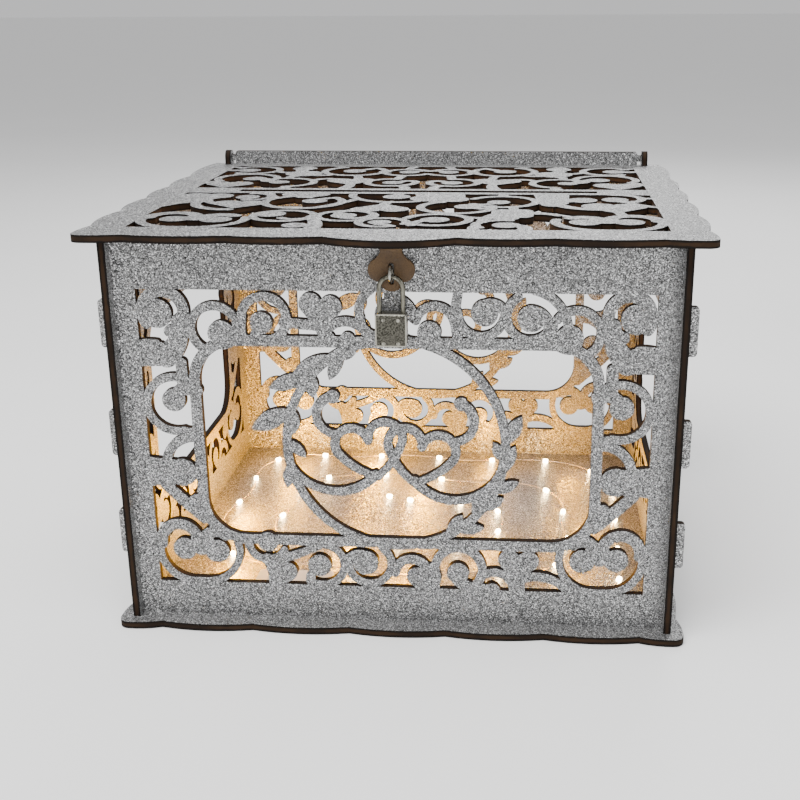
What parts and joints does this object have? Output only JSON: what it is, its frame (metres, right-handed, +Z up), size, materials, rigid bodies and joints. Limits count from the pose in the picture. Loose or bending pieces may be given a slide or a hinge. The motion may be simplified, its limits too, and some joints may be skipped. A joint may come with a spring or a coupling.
{
  "type": "wedding card box",
  "caption": "Pierced scrollwork card box of interlocking boards with a hinged slotted lid, hasp, small padlock and inner fairy lights.",
  "frame": {"origin": "centre of the base plate's underside, midway between the front and rear panels", "axes": "+X to the right of someone facing the lock, front towards -Y, +Z up"},
  "size_m": [0.3232, 0.3004, 0.2323],
  "materials": {
    "glitter_board": "laser-cut fibreboard with silver glitter film on its outer faces, burnt brown edges",
    "brown_leather": "dark brown smooth leather",
    "nickel_wire": "nickel plated steel",
    "pewter": "antique nickel, dark in the hollows",
    "pewter_plate": "hammered antique nickel plate",
    "plug_brass": "turned brass",
    "spring_steel": "spring steel wire",
    "white_plastic": "moulded white plastic",
    "cell_steel": "stamped steel can",
    "black_plastic": "moulded black plastic",
    "silver_wire": "fine silvered copper wire, lacquered",
    "led_resin": "clear resin drop over a warm white diode"
  },
  "bodies": {
    "root": {"base_plate": "glitter_board", "front_panel": "glitter_board", "rear_panel": "glitter_board", "left_panel": "glitter_board", "right_panel": "glitter_board", "screw_eye": "nickel_wire", "battery_case": "white_plastic", "coin_cells": "cell_steel", "cell_contact_minus": "nickel_wire", "cell_contact_plus": "nickel_wire", "fairy_light_wire": "silver_wire", "fairy_light_beads": "led_resin"},
    "lid": {"lid_panel": "glitter_board", "hinge_strip": "glitter_board", "hasp_staple": "nickel_wire", "hasp_tab": "brown_leather"},
    "shackle": {"padlock_shackle": "pewter"},
    "lock": {"padlock_case": "pewter", "padlock_front_plate": "pewter_plate", "padlock_back_plate": "pewter_plate", "padlock_rivets": "nickel_wire", "padlock_latch_spring": "spring_steel"},
    "lock_key_plug": {"padlock_plug": "plug_brass"},
    "lock_latch": {"padlock_latch": "nickel_wire"},
    "switch": {"light_switch": "black_plastic"},
    "cover": {"battery_cover": "white_plastic"}
  },
  "joints": [
    {"name": "lid_hinge", "type": "hinge", "parent": "root", "child": "lid", "pos_m": [0, 0.13, 0.2273], "axis": [-1, 0, 0], "range_deg": [0, 110], "deforming": ["hasp_tab"]},
    {"name": "padlock_swing", "type": "hinge", "parent": "root", "child": "shackle", "pos_m": [0, -0.1388, 0.2028], "axis": [-1, 0, 0], "range_deg": [-3, 70]},
    {"name": "lock_drop", "type": "slide", "parent": "shackle", "child": "lock", "axis": [0, 0, -1], "range_m": [0, 0.005]},
    {"name": "key_turn", "type": "hinge", "parent": "lock", "child": "lock_key_plug", "pos_m": [0, -0.1388, 0.165], "axis": [0, 0, 1], "range_deg": [0, 90]},
    {"name": "latch_slide", "type": "slide", "parent": "lock", "child": "lock_latch", "axis": [-1, 0, 0], "range_m": [0, 0.0015], "deforming": ["padlock_latch_spring"]},
    {"name": "switch_slide", "type": "slide", "parent": "root", "child": "switch", "axis": [1, 0, 0], "range_m": [0, 0.0032]},
    {"name": "cover_slide", "type": "slide", "parent": "root", "child": "cover", "axis": [-1, 0, 0], "range_m": [0, 0.024]}
  ],
  "couplings": [
    {"joint": "key_turn", "follows": "lock_drop", "rad_per_m": 314.15},
    {"joint": "latch_slide", "follows": "lock_drop", "ratio": 0.3}
  ]
}
